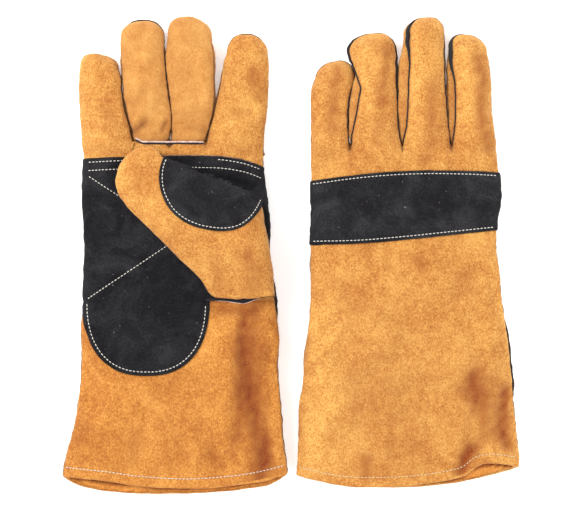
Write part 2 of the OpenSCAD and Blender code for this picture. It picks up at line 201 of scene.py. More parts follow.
# creases on the palm (1) or back (-1): path, half width, depth (a ridge's is negative), painted shade
# (negative for painted light)
CREASES = {
    ("right", 1): [
        ([(-35, -44), (-35, -80), (-29, -98), (-26, -114), (-23, -130), (-21, -142),
             (-22, -164)], 5.4, 2.6, 0.72),
        ([(-27, -46), (-26, -90), (-24, -120), (-20, -160)], 9.0, 1.4, 0.48),
        ([(-35, -60), (-36, -100)], 7.0, 0.6, 0.34),
        ([(-37, -100), (-36, -118), (-41, -134)], 6.0, 1.2, 0.6),
        ([(-18, -134), (-17, -160)], 4.0, 0.8, 0.42),
        ([(-26, -150), (-24, -168)], 5.0, 0.6, 0.35),
        ([(-44, -134), (-43, -148)], 4.5, 0.8, 0.2),
        ([(-52, -60), (-51, -100), (-48, -150)], 7.0, -1.3, -0.08),
        ([(-12, -60), (-11, -120), (-9, -150)], 3.0, -0.8, -0.16),
        ([(-56, -41), (-36, -40), (-24, -40)], 4.0, 1.6, 0.5),
        ([(-60, -149), (-52, -158)], 5.0, 0.8, 0.3),
        ([(-38, -172), (-24, -169)], 3.0, 0.5, 0.5),
        ([(-114, -134), (-118, -152)], 5.0, 0.8, 0.3),
        ([(-152, -128), (-160, -142)], 4.0, 0.8, 0.25),
        ([(-92, -100), (-86, -150)], 12.0, 1.2, 0.12),
        ([(-130, -96), (-142, -135)], 10.0, -0.8, -0.08),
        ([(-160, -166), (-104, -174), (-60, -174)], 4.0, 0, -0.12),
        ([(-66, 66), (-46, 63), (-28, 56)], 3.4, -3.0, 0),
        ([(-60, 60), (-40, 56), (-26, 49)], 3.0, 2.2, 0),
        ([(-27, 137), (-24, 119)], 4.0, 0.8, 0.5),
        ([(-45, 105), (-34, 106)], 4.0, 0.5, 0.35),
        ([(-86, 105), (-73, 106)], 3.0, 0.3, 0.22),
        ([(-70, 95), (-65, 92)], 3.0, 0.4, 0.3),
        ([(-116, 92), (-111, 97)], 2.4, 0.8, 0.75),
        ([(-94, 91), (-92, 97)], 2.0, 0.6, 0.5),
        ([(-131, 99), (-136, 107)], 5.0, 0.4, 0.3),
        ([(-110, 122), (-117, 112)], 4.0, 0.4, 0.22),
        ([(-135, 130), (-126, 100)], 3.0, -0.3, -0.12),
        ([(-113, 150), (-116, 120)], 4.0, -0.3, -0.12),
        ([(-70, 150), (-64, 115)], 4.0, -0.3, -0.16),
        ([(-24, 110), (-22, 92)], 4.0, -0.3, -0.14),
        ([(-38, 75), (-28, 75)], 3.0, 0.3, 0.3),
        ([(-150, 76), (-124, 75)], 3.5, 0.8, 0.2),
    ],
    ("right", -1): [
        ([(-100, -60), (-90, -120)], 14.0, 1.5, 0.2),
    ],
    ("left", -1): [
        ([(136, -90), (140, -112)], 5.6, 2.2, 0.66),
        ([(126, -100), (136, -108)], 5.0, 0.6, 0.3),
        ([(143, -98), (148, -132)], 13.0, 1.4, 0.46),
        ([(159, -100), (158, -130), (161, -144)], 5.2, 2.6, 0.8),
        ([(150, -66), (156, -96)], 6.0, -1.2, -0.05),
        ([(135, -145), (130, -152), (127, -164)], 5.6, 3.0, 0.95),
        ([(112, -120), (114, -160)], 8.0, -1.2, -0.05),
        ([(144, -147), (160, -150)], 6.0, -3.6, -0.26),
        ([(155, -20), (160, -64), (165, -101), (169, -150)], 2.6, -0.3, -0.32),
        ([(59, -152), (56, -164)], 4.6, 0.8, 0.5),
        ([(94, -2), (97, -10)], 4.0, 0.5, 0.4),
        ([(6, -116), (5, -136)], 3.5, 0.6, 0.5),
        ([(13, -62), (11, -78)], 3.5, 0.5, 0.4),
        ([(22, -45), (26, -108), (18, -146)], 9.0, -0.8, -0.17),
        ([(47, -92), (49, -128)], 6.0, 0.8, 0.2),
        ([(66, -95), (86, -140)], 22.0, 1.0, 0.14),
        ([(88, -70), (88, -160)], 60.0, 0, 0.07),
        ([(40, -30), (64, -44)], 9.0, 0.6, 0.14),
        ([(130, -14), (124, -30)], 7.0, 0.8, 0.25),
        ([(8, -168), (60, -171), (110, -166)], 3.6, 0, -0.12),
        ([(71, 153), (73, 138), (69, 114)], 4.4, 0.5, 0.5),
        ([(69, 112), (66, 80)], 4.4, 0.3, 0.3),
        ([(55, 148), (59, 103)], 3.8, -0.3, -0.2),
        ([(34, 136), (32, 110), (31, 94)], 4.8, 0.4, 0.5),
        ([(23, 124), (24, 104)], 4.0, -0.2, -0.1),
        ([(103, 128), (105, 86), (99, 70)], 4.6, 0.3, 0.4),
        ([(95, 168), (95, 116)], 5.0, -0.3, -0.2),
        ([(140, 147), (144, 128), (142, 103), (146, 78)], 4.6, 0.6, 0.64),
        ([(130, 152), (131, 92)], 3.4, -0.3, -0.25),
        ([(149, 136), (151, 90)], 2.6, -0.3, -0.15),
        ([(28, 72), (22, 66)], 5.0, 0.3, 0.25),
        ([(44, 78), (44, 66)], 3.0, 0.3, 0.25),
        ([(94, 175), (104, 177), (112, 170)], 4.0, 0, -0.3),
        ([(127, 163), (136, 164), (144, 158)], 4.0, 0, -0.3),
        ([(54, 162), (64, 165), (72, 162)], 4.0, 0, -0.2),
    ],
}
# the darkening of a thumb crease is painted shade
THUMB_CREASES = [(12, -4, 5.0, 0.45), (34, -13, 6.0, 0.25), (5, -18, 5.0, 0.35), (66, 8, 5.0, 0.2),
                 (88, 52, 6.0, 0.15)]    # inward from the hinge, y, half width, darkening

# ---------------------------------------------------------------- small tools

def box_mm(node):
    low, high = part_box(node)
    return np.array(low) / MM, np.array(high) / MM


def curve(rows, at):
    """Values at stations along a table whose first column is the station, joined smoothly."""
    rows = np.array(rows, float)
    at = np.clip(np.asarray(at, float), rows[0, 0], rows[-1, 0])
    x, y = rows[:, 0], rows[:, 1:]
    slope = np.gradient(y, x, axis=0)
    i = np.clip(np.searchsorted(x, at) - 1, 0, len(x) - 2)
    width = (x[i + 1] - x[i])[..., None]
    t = (at - x[i])[..., None] / width
    return ((2 * t**3 - 3 * t**2 + 1) * y[i] + (t**3 - 2 * t**2 + t) * width * slope[i]
            + (3 * t**2 - 2 * t**3) * y[i + 1] + (t**3 - t**2) * width * slope[i + 1])


def smooth(t):
    t = np.clip(t, 0, 1)
    return t * t * (3 - 2 * t)


def mix(a, b, t):
    return a + (b - a) * t


def unit(v):
    return v / np.maximum(np.linalg.norm(v, axis=-1, keepdims=True), 1e-9)


def noise(points, wavelength, seed):
    """Smooth noise of about unit strength, as a sum of waves in seeded directions."""
    count = 26
    rng = np.random.default_rng(seed)
    way = unit(rng.normal(size=(count, 3)))
    k = 2 * math.pi / wavelength * rng.uniform(0.6, 1.5, count)
    phase = rng.uniform(0, 2 * math.pi, count)
    return np.cos((points @ way.T) * k + phase).sum(axis=-1) / math.sqrt(count / 2)


def bump(at, centre, width):
    """A smooth bump of height 1."""
    return np.exp(-((at - centre) / width) ** 2)


def lengths(path):
    """How far along its path each point lies, for one path or for each row of a grid."""
    step = np.linalg.norm(np.diff(path, axis=-2), axis=-1)
    return np.concatenate([np.zeros_like(step[..., :1]), np.cumsum(step, axis=-1)], axis=-1)


def between(at, along, path):
    """Places on a polyline at distances along it."""
    return np.stack([np.interp(at, along, column) for column in path.T], axis=1)


def to_sides(grid):
    """Distance of each point of a grid from the nearer end of its row."""
    along = lengths(grid)
    return np.minimum(along, along[:, -1:] - along)


def rounded(wave, power):
    """Values from -1 to 1 raised to a power, with their sign kept."""
    return np.sign(wave) * np.abs(wave) ** power


def dome(x, left, right, power):
    """Height of a rounded cross-section between two sides, as a share of its half thickness."""
    t = np.clip(np.abs(2 * x - left - right) / (right - left), 0, 1)
    return (1 - t**power) ** (1 / power)


def to_path(points, path):
    """Distance in plan from each point to a polyline."""
    best = np.full(len(points), 1e9)
    for a, b in zip(np.array(path[:-1], float), np.array(path[1:], float)):
        t = np.clip(((points[:, :2] - a) @ (b - a)) / ((b - a) @ (b - a)), 0, 1)
        best = np.minimum(best, np.linalg.norm(points[:, :2] - a - t[:, None] * (b - a), axis=1))
    return best


def resample(path, spacing):
    """Points at an even spacing along a polyline of any dimension."""
    path = np.array(path, float)
    along = lengths(path)
    count = max(2, int(round(along[-1] / spacing)) + 1)
    return between(np.linspace(0, along[-1], count), along, path)


def tidy_faces(faces):
    """Each face without its repeated corners."""
    kept = []
    for face in faces:
        corners = []
        for i in face:
            if i not in corners:
                corners.append(int(i))
        kept.append(tuple(corners))
    return kept


def grid_faces(rows, cols):
    i = np.arange(rows * cols).reshape(rows, cols)
    return np.stack([i[:-1, :-1], i[:-1, 1:], i[1:, 1:], i[1:, :-1]], axis=-1).reshape(-1, 4)


def vertex_normals(points, faces):
    across = np.cross(points[faces[:, 2]] - points[faces[:, 0]],
                      points[faces[:, 3]] - points[faces[:, 1]])
    total = np.zeros_like(points)
    for corner in range(4):
        np.add.at(total, faces[:, corner], across)
    return unit(total)


def add_object(name, data):
    item = bpy.data.objects.new(name, data)
    bpy.context.scene.collection.objects.link(item)
    return item


# ---------------------------------------------------------------- materials

def new_material(name, roughness, sheen=0.0, sheen_tint=(1, 1, 1, 1)):
    material = bpy.data.materials.new(name)
    material.use_nodes = True
    shader = material.node_tree.nodes["Principled BSDF"]
    shader.inputs["Roughness"].default_value = roughness
    shader.inputs["Sheen Weight"].default_value = sheen
    shader.inputs["Sheen Roughness"].default_value = 0.5
    shader.inputs["Sheen Tint"].default_value = sheen_tint
    shader.inputs["Specular IOR Level"].default_value = 0.25
    return material, material.node_tree, shader


def object_place(tree):
    """Places in the object's own space."""
    return tree.nodes.new("ShaderNodeTexCoord").outputs["Object"]


def noise_node(tree, where, scale, detail=4.0, stretch=(1, 1, 1), distortion=0.0):
    place = tree.nodes.new("ShaderNodeMapping")
    place.inputs["Scale"].default_value = stretch
    tree.links.new(where, place.inputs["Vector"])
    node = tree.nodes.new("ShaderNodeTexNoise")
    node.inputs["Scale"].default_value = scale
    node.inputs["Detail"].default_value = detail
    node.inputs["Roughness"].default_value = 0.6
    node.inputs["Distortion"].default_value = distortion
    tree.links.new(place.outputs["Vector"], node.inputs["Vector"])
    return node.outputs["Fac"]


def ramp_node(tree, value, stops):
    node = tree.nodes.new("ShaderNodeValToRGB")
    node.color_ramp.elements.remove(node.color_ramp.elements[1])
    node.color_ramp.elements[0].position = stops[0][0]
    node.color_ramp.elements[0].color = (*stops[0][1], 1)
    for position, colour in stops[1:]:
        node.color_ramp.elements.new(position).color = (*colour, 1)
    tree.links.new(value, node.inputs["Fac"])
    return node.outputs["Color"]


def math_node(tree, operation, a, b=0.0, c=0.0):
    node = tree.nodes.new("ShaderNodeMath")
    node.operation = operation
    for socket, value in zip(node.inputs, (a, b, c)):
        if isinstance(value, (int, float)):
            socket.default_value = value
        else:
            tree.links.new(value, socket)
    return node.outputs["Value"]


def mix_node(tree, share, a, b, blend="MIX"):
    node = tree.nodes.new("ShaderNodeMix")
    node.data_type = "RGBA"
    node.blend_type = blend
    node.clamp_factor = False
    for socket, value in ((node.inputs[0], share), (node.inputs[6], a), (node.inputs[7], b)):
        if isinstance(value, (int, float)):
            socket.default_value = value
        elif isinstance(value, tuple):
            socket.default_value = (*value, 1)
        else:
            tree.links.new(value, socket)
    return node.outputs[2]


def bump_node(tree, shader, height, strength, distance):
    node = tree.nodes.new("ShaderNodeBump")
    node.inputs["Strength"].default_value = strength
    node.inputs["Distance"].default_value = distance
    tree.links.new(height, node.inputs["Height"])
    tree.links.new(node.outputs["Normal"], shader.inputs["Normal"])


def shade_value(tree):
    """Painted shade, by how deep a point lies in a fold or seam, up to 1, or painted light below 0."""
    node = tree.nodes.new("ShaderNodeAttribute")
    node.attribute_name = "shade"
    return node.outputs["Fac"]


def suede(name, pale, middle, deep, fold, nap=1.0):
    """Brushed split leather: patches of nap brushed light and dark, with a fine fibrous grain."""
    material, tree, shader = new_material(name, 0.95, 0.22, (1.0, 0.72, 0.42, 1))
    where = object_place(tree)
    cloud = noise_node(tree, where, 24, 3, distortion=0.6)
    blotch = noise_node(tree, where, 150, 4, (1, 0.8, 1), 0.6)
    grain = noise_node(tree, where, 600, 3)
    fibre = noise_node(tree, where, 1300, 2, (1, 0.5, 1))
    tone = math_node(tree, "MULTIPLY_ADD", cloud, 0.26,
                     math_node(tree, "MULTIPLY_ADD", blotch, 0.2,
                               math_node(tree, "MULTIPLY_ADD", grain, 0.3 * nap,
                                         math_node(tree, "MULTIPLY", fibre, 0.34 * nap))))
    middle_tone = 0.5 * (0.46 + 0.64 * nap)
    colour = ramp_node(tree, tone, [(middle_tone - 0.1, deep), (middle_tone, middle),
                                    (middle_tone + 0.1, pale)])
    # painted shade of folds and seams: the shade attribute mixes the colour toward fold, made grainy
    # by worn, which here is only the grain; below 0 it is painted light
    worn = math_node(tree, "MULTIPLY_ADD", grain, 1.2, -0.6)
    shade = math_node(tree, "MULTIPLY_ADD", shade_value(tree), worn, shade_value(tree))
    colour = mix_node(tree, shade, colour, fold)
    tree.links.new(colour, shader.inputs["Base Color"])
    height = math_node(tree, "MULTIPLY_ADD", grain, 0.7, math_node(tree, "MULTIPLY", fibre, 0.5))
    height = math_node(tree, "MULTIPLY_ADD", blotch, 0.8, height)
    bump_node(tree, shader, height, 0.9 * nap, 0.0008)
    return material


def black_leather(name, dark, worn):
    """Dyed split leather: nearly black, rubbed grey here and there, with specks of dust."""
    material, tree, shader = new_material(name, 0.95, 0.03, (0.8, 0.82, 0.9, 1))
    shader.inputs["Specular IOR Level"].default_value = 0.12
    where = object_place(tree)
    cloud = noise_node(tree, where, 40, 4, distortion=0.8)
    grain = noise_node(tree, where, 700, 3)
    tone = math_node(tree, "MULTIPLY_ADD", cloud, 0.6, math_node(tree, "MULTIPLY", grain, 0.4))
    colour = ramp_node(tree, tone, [(0.4, dark), (0.5, mixed(dark, worn, 0.35)), (0.62, worn)])
    dust = noise_node(tree, where, 420, 1)
    specks = ramp_node(tree, dust, [(0.75, (0, 0, 0)), (0.8, (1, 1, 1))])
    colour = mix_node(tree, math_node(tree, "MULTIPLY", specks, 0.4), colour, (0.2, 0.19, 0.2))
    tree.links.new(colour, shader.inputs["Base Color"])
    bump_node(tree, shader, math_node(tree, "MULTIPLY_ADD", cloud, 0.6, grain), 0.7, 0.0005)
    return material


def mixed(a, b, share):
    return tuple(x + (y - x) * share for x, y in zip(a, b))


def plain_woven(name, pale, deep, scale, roughness=0.9):
    """Thread, piping and lining: a fine twist of two tones."""
    material, tree, shader = new_material(name, roughness, 0.1)
    where = object_place(tree)
    twist = noise_node(tree, where, scale, 3, (1, 1.6, 1))
    colour = ramp_node(tree, twist, [(0.38, deep), (0.6, pale)])
    tree.links.new(colour, shader.inputs["Base Color"])
    bump_node(tree, shader, twist, 0.5, 0.0003)
    return material


TAN = suede("tan_suede", (0.55, 0.285, 0.070), (0.425, 0.182, 0.039), (0.30, 0.098, 0.016),
            (0.19, 0.035, 0.005))
SMOOTH_TAN = suede("smooth_suede", (0.51, 0.262, 0.072), (0.412, 0.182, 0.044),
                   (0.31, 0.114, 0.022), (0.14, 0.038, 0.008), 0.55)
CUFF_TAN = suede("cuff_suede", (0.535, 0.240, 0.052), (0.40, 0.152, 0.026), (0.28, 0.082, 0.012),
                 (0.16, 0.027, 0.004))
# a lighter copy of the cuff suede: painted light on the turned hem's strip that lies in the shade of
# the upper lip
LIT_HEM_TAN = suede("lit_hem_suede", (0.80, 0.34, 0.080), (0.62, 0.235, 0.045), (0.45, 0.14, 0.022),
                (0.16, 0.027, 0.004))
INSIDE_TAN = suede("flesh_side", (0.40, 0.17, 0.045), (0.30, 0.11, 0.025), (0.20, 0.065, 0.014),
                   (0.09, 0.022, 0.006))
BLACK = black_leather("black_leather", (0.0042, 0.0038, 0.0048), (0.0180, 0.0174, 0.0195))
RUBBED_BLACK = black_leather("rubbed_leather", (0.0062, 0.0056, 0.0070), (0.0235, 0.0228, 0.0250))
PIPING = plain_woven("black_piping", (0.014, 0.011, 0.011), (0.005, 0.004, 0.004), 900, 0.85)
THREAD_WHITE = plain_woven("white_thread", (0.62, 0.60, 0.55), (0.38, 0.35, 0.30), 1800, 0.75)
THREAD_CREAM = plain_woven("cream_thread", (0.62, 0.50, 0.33), (0.42, 0.29, 0.15), 1800, 0.8)
RAW_EDGE = plain_woven("raw_leather_edge", (0.62, 0.47, 0.41), (0.36, 0.22, 0.17), 500, 0.9)
WORN_EDGE = plain_woven("worn_leather_edge", (0.22, 0.13, 0.10), (0.05, 0.035, 0.03), 400, 0.9)
COTTON = plain_woven("cotton_lining", (0.42, 0.33, 0.22), (0.28, 0.21, 0.13), 1100, 0.95)


# ---------------------------------------------------------------- pieces

def link_piece(name, mesh, material, ride, sharp=None):
    """A finished mesh as a piece that rides on a body; one with a bend between two bodies only has its
    transform baked in.
    """
    mesh.materials.append(material)
    mesh.polygons.foreach_set("use_smooth", [True] * len(mesh.polygons))
    if sharp:
        mesh.set_sharp_from_angle(angle=math.radians(sharp))
    piece = add_object(name, mesh)
    body, bend = ride
    if bend:
        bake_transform(piece)
    else:
        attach(piece, body)
    return piece


def boundary(faces):
    """Edges that only one face has, each in that face's direction."""
    edges = set()
    for face in faces:
        edges.update(zip(face, face[1:] + face[:1]))
    return [(a, b) for a, b in edges if (b, a) not in edges]


def leather_piece(name, points, normals, faces, shade, material, ride, top=0.0, low=-LEATHER):
    """Closed leather between two offsets of part of a skin, shaded as the whole skin is."""
    used, new = np.unique(faces, return_inverse=True)
    faces = [face for face in tidy_faces(new.reshape(-1, 4)) if len(face) > 2]
    count = len(used)
    top, low = np.broadcast_to(top, len(points))[used], np.broadcast_to(low, len(points))[used]
    out = normals[used]
    outer = points[used] + out * top[:, None]
    inner = points[used] + out * low[:, None]
    rim = [(b, a, a + count, b + count) for a, b in sorted(boundary(faces))]
    inside = [tuple(i + count for i in face[::-1]) for face in faces]
    mesh = bpy.data.meshes.new(name)
    mesh.from_pydata((np.concatenate([outer, inner]) * MM).tolist(), [], faces + inside + rim)
    deep = np.concatenate([shade[used], shade[used]])
    mesh.attributes.new("shade", "FLOAT", "POINT").data.foreach_set("value", deep)
    piece = link_piece(name, mesh, material, ride)
    both = np.concatenate([out, -out])
    corner_normals = []
    for polygon in mesh.polygons:
        on_rim = polygon.index >= 2 * len(faces)
        for loop in polygon.loop_indices:
            corner_normals.append(tuple(polygon.normal) if on_rim
                                  else tuple(both[mesh.loops[loop].vertex_index]))
    mesh.normals_split_custom_set(corner_normals)
    return piece


def plain_piece(name, parts, material, ride):
    """A piece made of several sets of verts in mm and faces, smooth up to 60 degrees."""
    verts, faces, start = [], [], 0
    for some_verts, some_faces in parts:
        verts.append(some_verts)
        faces += [tuple(i + start for i in face) for face in some_faces]
        start += len(some_verts)
    mesh = bpy.data.meshes.new(name)
    mesh.from_pydata((np.concatenate(verts) * MM).tolist(), [], faces)
    return link_piece(name, mesh, material, ride, 60)


def tube(points, radius, sides=8):
    """Verts and faces of a round cord along a path, drawn in at both ends."""
    points = np.array(points, float)
    along = unit(np.gradient(points, axis=0))
    side = unit(np.cross(along, np.array([0.13, 0.21, 0.97])))
    over = np.cross(side, along)
    angle = np.linspace(0, 2 * math.pi, sides, endpoint=False)
    thick = np.array(np.broadcast_to(radius, len(points)), float)
    thick[[0, -1]] *= 0.35
    rings = (points[:, None] + thick[:, None, None]
             * (side[:, None] * np.cos(angle)[:, None] + over[:, None] * np.sin(angle)[:, None]))
    verts = rings.reshape(-1, 3)
    faces = []
    for i in range(len(points) - 1):
        for j in range(sides):
            a, b = i * sides + j, i * sides + (j + 1) % sides
            faces.append((a, b, b + sides, a + sides))
    faces.append(tuple(range(sides))[::-1])
    faces.append(tuple(range(len(verts) - sides, len(verts))))
    return verts, faces


class Surface:
    """A finished skin that other things are laid on."""

    def __init__(self, points, faces):
        self.faces = [f for f in tidy_faces(faces) if len(f) > 2]
        self.points = points
        self.tree = BVHTree.FromPolygons([Vector(p) for p in points], self.faces)
        total = np.zeros_like(points)
        for face in self.faces:
            a, b, c = points[list(face[:3])]
            total[list(face)] += np.cross(b - a, c - a)
        self.normals = unit(total)

    def smooth_normal(self, face, point):
        corners = list(self.faces[face])
        near = 1 / (np.linalg.norm(self.points[corners] - point, axis=1) + 0.3)
        return unit((self.normals[corners] * near[:, None]).sum(axis=0))

    def snap(self, points):
        """The nearest places on the skin, and its normals there."""
        places, normals = np.zeros_like(points), np.zeros_like(points)
        for i, point in enumerate(points):
            places[i], _, face, _ = self.tree.find_nearest(Vector(point))
            normals[i] = self.smooth_normal(face, places[i])
        return places, normals

    def drape(self, plan, facing, height=0.0):
        """Points of plan (x, y) laid on the side of the skin that faces up (1) or down (-1).

        A point beside the skin goes to the nearest place on it from the given height.
        """
        plan = np.asarray(plan, float)
        flat = plan.reshape(-1, 2)
        start = np.column_stack([flat, np.broadcast_to(height, len(flat))])
        points, normals = self.snap(start)
        for i, (x, y) in enumerate(flat):
            hit, _, face, _ = self.tree.ray_cast(Vector((x, y, RAY_FROM * facing)),
                                                 Vector((0, 0, -facing)))
            if hit is not None:
                points[i] = hit
                normals[i] = self.smooth_normal(face, points[i])
        return points.reshape(*plan.shape[:-1], 3), normals.reshape(*plan.shape[:-1], 3)


def patch_piece(name, surface, plan, lay, ride, material, passes=0):
    """A leather patch over a grid of plan points, with its rim pressed down by the sewing.

    lay gives the places of plan points on the skin, which are then evened out along the rows.
    Returns the piece and its own upper surface.
    """
    flat, merged = np.unique(np.round(plan.reshape(-1, 2), 2), axis=0, return_inverse=True)
    merged = merged.reshape(plan.shape[:2])
    faces = merged.reshape(-1)[grid_faces(*plan.shape[:2])]
    base = lay(flat)
    for _ in range(passes):
        grid = base[merged]
        grid[:, 1:-1] = (grid[:, :-2] + 2 * grid[:, 1:-1] + grid[:, 2:]) / 4
        base[merged] = grid
    base, out = surface.snap(base)
    across = vertex_normals(base, faces)
    if (across * out).sum() < 0:
        faces, across = faces[:, ::-1], -across
    faces = np.array([face for face in faces if len(set(face.tolist())) > 2])
    thick = np.full(len(flat), PATCH)
    rim = {i for edge in boundary(tidy_faces(faces)) for i in edge}
    beside = {i for face in faces.tolist() if rim & set(face) for i in face} - rim
    thick[list(beside)] *= BESIDE_SHARE
    thick[list(rim)] *= RIM_SHARE
    outer = base + across * (thick + 0.1)[:, None]
    grain = 0.12 * noise(outer, 9, 41) + 0.1 * noise(outer, 22, 43)
    outer += across * grain[:, None]
    out = vertex_normals(outer, faces)
    piece = leather_piece(name, outer, out, faces, np.zeros(len(outer)), material, ride,
                          0.0, -thick - 0.6)
    return piece, Surface(outer, faces)


def smooth_path(path, spacing):
    """A path drawn smoothly through a few points, as evenly spaced points."""
    path = np.array(path, float)
    along = lengths(path)
    at = np.linspace(0, along[-1], max(3, int(along[-1] / 0.8)))
    return resample(curve(np.column_stack([along, path]), at), spacing)


def inset(path, distance):
    """A path in plan moved to its own left."""
    along = unit(np.gradient(path, axis=0))
    return path + distance * np.stack([-along[:, 1], along[:, 0]], axis=1)


def loop_plan(loop, centre, rings):
    """Grid of plan points from a closed loop inward to its centre."""
    loop = np.concatenate([loop, loop[:1]])
    share = np.concatenate([[1, 0.975, 0.93], np.linspace(0.86, 0, rings)])[:, None, None]
    return np.array(centre) + (loop - np.array(centre))[None] * share


def stitches(surface, path, facing):
    """Separate threads along a path in plan, each arched over the leather."""
    dense = resample(path, 0.7)
    points, normals = surface.drape(dense, facing)
    lying = np.linalg.norm(points[:, :2] - dense, axis=1) < STITCH_ASIDE
    along = lengths(points)
    parts = []
    for start in np.arange(0.4, along[-1] - STITCH, STITCH_PITCH):
        at = start + np.linspace(0, STITCH, 5)
        if np.interp(at, along, lying).min() < 1:
            continue
        arch = unit(between(at, along, normals)) * np.array(ARCH)[:, None]
        parts.append(tube(between(at, along, points) + arch, THREAD, 6))
    return parts


# ---------------------------------------------------------------- one glove

class Skin:
    """Grids of points that are welded into one surface, each face with the name of its panel."""

    def __init__(self):
        self.parts, self.indices = [], {}

    def add(self, key, grid, core, tag, seam, room=FAR, root=""):
        """A grid, the middle it bulges away from, and what belongs to its points and faces."""
        rows, cols = grid.shape[:2]
        faces = grid_faces(rows, cols)
        flat, middle = grid.reshape(-1, 3), core.reshape(-1, 3)
        across = np.cross(flat[faces[:, 2]] - flat[faces[:, 0]],
                          flat[faces[:, 3]] - flat[faces[:, 1]])
        outward = flat[faces].mean(axis=1) - middle[faces].mean(axis=1)
        if (across * outward).sum() < 0:
            faces = faces[:, ::-1]
        start = sum(len(part["points"]) for part in self.parts)
        shape = (rows - 1, cols - 1)
        self.parts.append({
            "points": flat, "faces": faces + start, "seam": seam.reshape(-1),
            "room": np.broadcast_to(room, (rows, cols)).reshape(-1),
            "tags": np.broadcast_to(np.array(tag, object), shape).reshape(-1),
            "roots": np.broadcast_to(np.array(root, object), shape).reshape(-1)})
        self.indices[key] = np.arange(start, start + len(flat)).reshape(rows, cols)

    def weld(self):
        """Merge the grids where their points meet."""
        whole = {key: np.concatenate([part[key] for part in self.parts]) for key in self.parts[0]}
        points = whole["points"]
        _, first, group = np.unique(np.round(points / 0.03).astype(int), axis=0,
                                    return_index=True, return_inverse=True)
        group = group.reshape(-1)
        self.points = points[first]
        faces = group[whole["faces"]]
        self.seam, self.room = np.full(len(first), FAR), np.full(len(first), FAR)
        np.minimum.at(self.seam, group, whole["seam"])
        np.minimum.at(self.room, group, whole["room"])
        self.indices = {key: group[index] for key, index in self.indices.items()}
        real = np.array([len(set(face)) > 2 for face in faces.tolist()])
        self.faces, self.tags, self.roots = faces[real], whole["tags"][real], whole["roots"][real]
        self.normals = vertex_normals(self.points, self.faces)

    def lifted(self, index, lift):
        """Some points of the skin, lifted off it."""
        return self.points[index] + self.normals[index] * lift

    def move(self, along_normal):
        self.points = self.points + self.normals * along_normal[:, None]
        self.normals = vertex_normals(self.points, self.faces)


def sculpt(skin, creases, up, ground, strength=1.0):
    """Creases, puckers and slack of soft leather, and the groove along each seam.

    The skin stays above the ground, which is higher where a patch lies under it.
    """
    p = skin.points
    calm = smooth(skin.seam / 8)
    # heights in mm, times noises that each take a wavelength in mm and a seed
    slack = 0.9 * noise(p, 70, 3) + 0.5 * noise(p, 30, 5)
    fine = 0.26 * noise(p * (1, 0.6, 1), 13, 7) + 0.1 * noise(p, 6, 13)
    ridged = 0.4 * (1 - np.abs(noise(p * (1, 0.45, 1), 24, 11)))
    move = strength * (slack * mix(0.3, 1, calm) + (fine + ridged) * calm)
    # dark gathers painted shade in creases; pale is painted light on a band beside each seam and where
    # a crease's tone is negative
    dark = np.zeros(len(p))
    pale = 0.07 * bump(skin.seam, 3.4, 1.9)
    wander = p[:, :2] + 0.9 * np.stack([noise(p, 36, 21), noise(p, 36, 22)], axis=1)
    for face, path, wide, deep, tone in creases:
        near = bump(to_path(wander, path), 0, wide)
        near *= np.clip(skin.normals[:, 2] * up * face * 2, 0, 1)
        move -= deep * near
        crease_shade_and_light = tone * near * (0.92 + 0.13 * noise(p, 9, 23))
        dark = 1 - (1 - dark) * (1 - np.maximum(crease_shade_and_light, 0))
        pale = np.maximum(pale, -crease_shade_and_light)
    groove = bump(skin.seam, 0, GROOVE_WIDTH)
    puckers = 0.16 * noise(p, 7, 31) * bump(skin.seam, 0, 5)
    skin.move(move - GROOVE_DEPTH * groove + puckers)
    skin.points[:, 2] = np.maximum(skin.points[:, 2], ground)
    # the shade attribute: painted shade in each seam's groove and in creases, less the painted light
    skin.shade = np.clip(0.5 * groove + dark - pale, -0.4, 0.92)


FRONT_STEPS = (np.arange(10) / 9.0) ** 1.3      # from a front panel's seam to its middle line
STRIP_STEPS = np.linspace(-1, 1, 5)             # from a side strip's back seam to its front seam


def strip_parts(side_count):
    """The parts of a finger's U that a strip on its left and a strip on its right run along."""
    return {"outer": slice(0, side_count + TIP_ROWS), "inner": slice(-side_count, None)}


